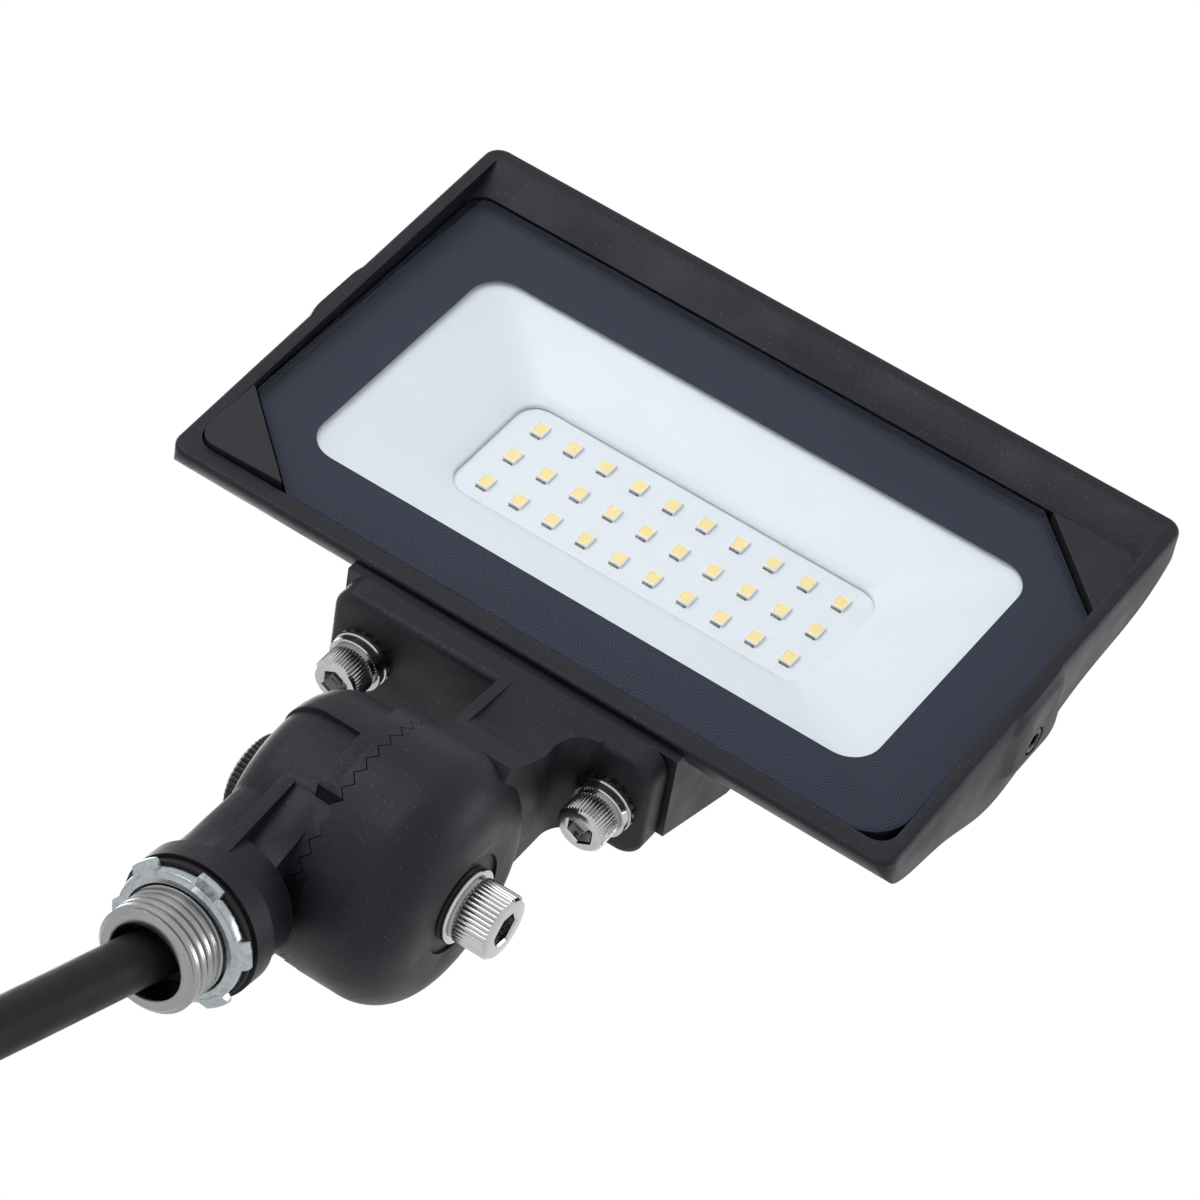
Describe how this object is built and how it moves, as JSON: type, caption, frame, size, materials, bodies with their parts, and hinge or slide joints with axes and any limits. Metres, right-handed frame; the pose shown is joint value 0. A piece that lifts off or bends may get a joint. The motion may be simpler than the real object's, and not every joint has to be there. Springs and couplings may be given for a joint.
{
  "type": "flood light",
  "caption": "Flood light with a visored die-cast head, framed glass and light board, on a toothed tilting knuckle with a threaded nipple, locknut and supply cord.",
  "frame": {"origin": "on the nipple's axis where its free thread starts, just under the locknut", "axes": "+Z along the nipple towards the lamp, +X along the tilt axis towards the socket screw's head, and the lamp shines along -Y and a little down"},
  "size_m": [0.1632, 0.0696, 0.4547],
  "materials": {
    "powder_coat": "fine satin powder coat, near black",
    "lens": "clear glass with a dark grey printed border",
    "soft_black": "matte",
    "block_black": "satin black",
    "white_tray": "white, slightly glossy",
    "board_white": "white solder resist",
    "led_yellow": "yellow phosphor in a white case",
    "chip_black": "moulded black",
    "bright_steel": "bright plated steel",
    "bare_metal": "turned bare metal",
    "zinc_steel": "zinc plated, slightly blue",
    "black_steel": "black oxide",
    "cord_sleeve": "black sleeved cord",
    "lead_insulation": "black, white and green insulation"
  },
  "bodies": {
    "base": {"knuckle_base": "powder_coat", "threaded_nipple": "bare_metal", "cable_seal": "soft_black", "pivot_nut": "black_steel", "supply_cord": "cord_sleeve", "lead_wires": "lead_insulation"},
    "head": {"housing": "powder_coat", "lens_glass": "lens", "lens_gasket": "soft_black", "corner_block_left": "block_black", "corner_block_right": "block_black", "reflector": "white_tray", "led_board": "board_white", "led_packages": "led_yellow", "driver_components": "chip_black", "board_screws": "bright_steel", "side_plugs": "black_steel", "flange_gasket": "soft_black", "knuckle_arm": "powder_coat", "flange_screws": "bright_steel", "flange_spring_washers": "bright_steel", "flange_flat_washers": "bright_steel"},
    "screw": {"pivot_screw": "bright_steel", "pivot_washer": "bright_steel"},
    "seal": {"sealing_washer": "soft_black"},
    "nut": {"locknut": "zinc_steel"}
  },
  "joints": [
    {"name": "head_tilt", "type": "hinge", "parent": "base", "child": "head", "pos_m": [0.0092, 0, 0.04565], "axis": [1, 0, 0], "range_deg": [-90, 73.64]},
    {"name": "pivot_screw_turn", "type": "hinge", "parent": "base", "child": "screw", "pos_m": [0.0092, 0, 0.04565], "axis": [1, 0, 0], "continuous": true},
    {"name": "seal_slide", "type": "slide", "parent": "base", "child": "seal", "axis": [0, 0, -1], "range_m": [0, 0.0065]},
    {"name": "locknut_turn", "type": "hinge", "parent": "seal", "child": "nut", "pos_m": [0, 0, 0], "axis": [0, 0, -1], "range_deg": [0, 1290]}
  ],
  "couplings": [
    {"joint": "locknut_turn", "follows": "seal_slide", "rad_per_m": 3463.7}
  ]
}
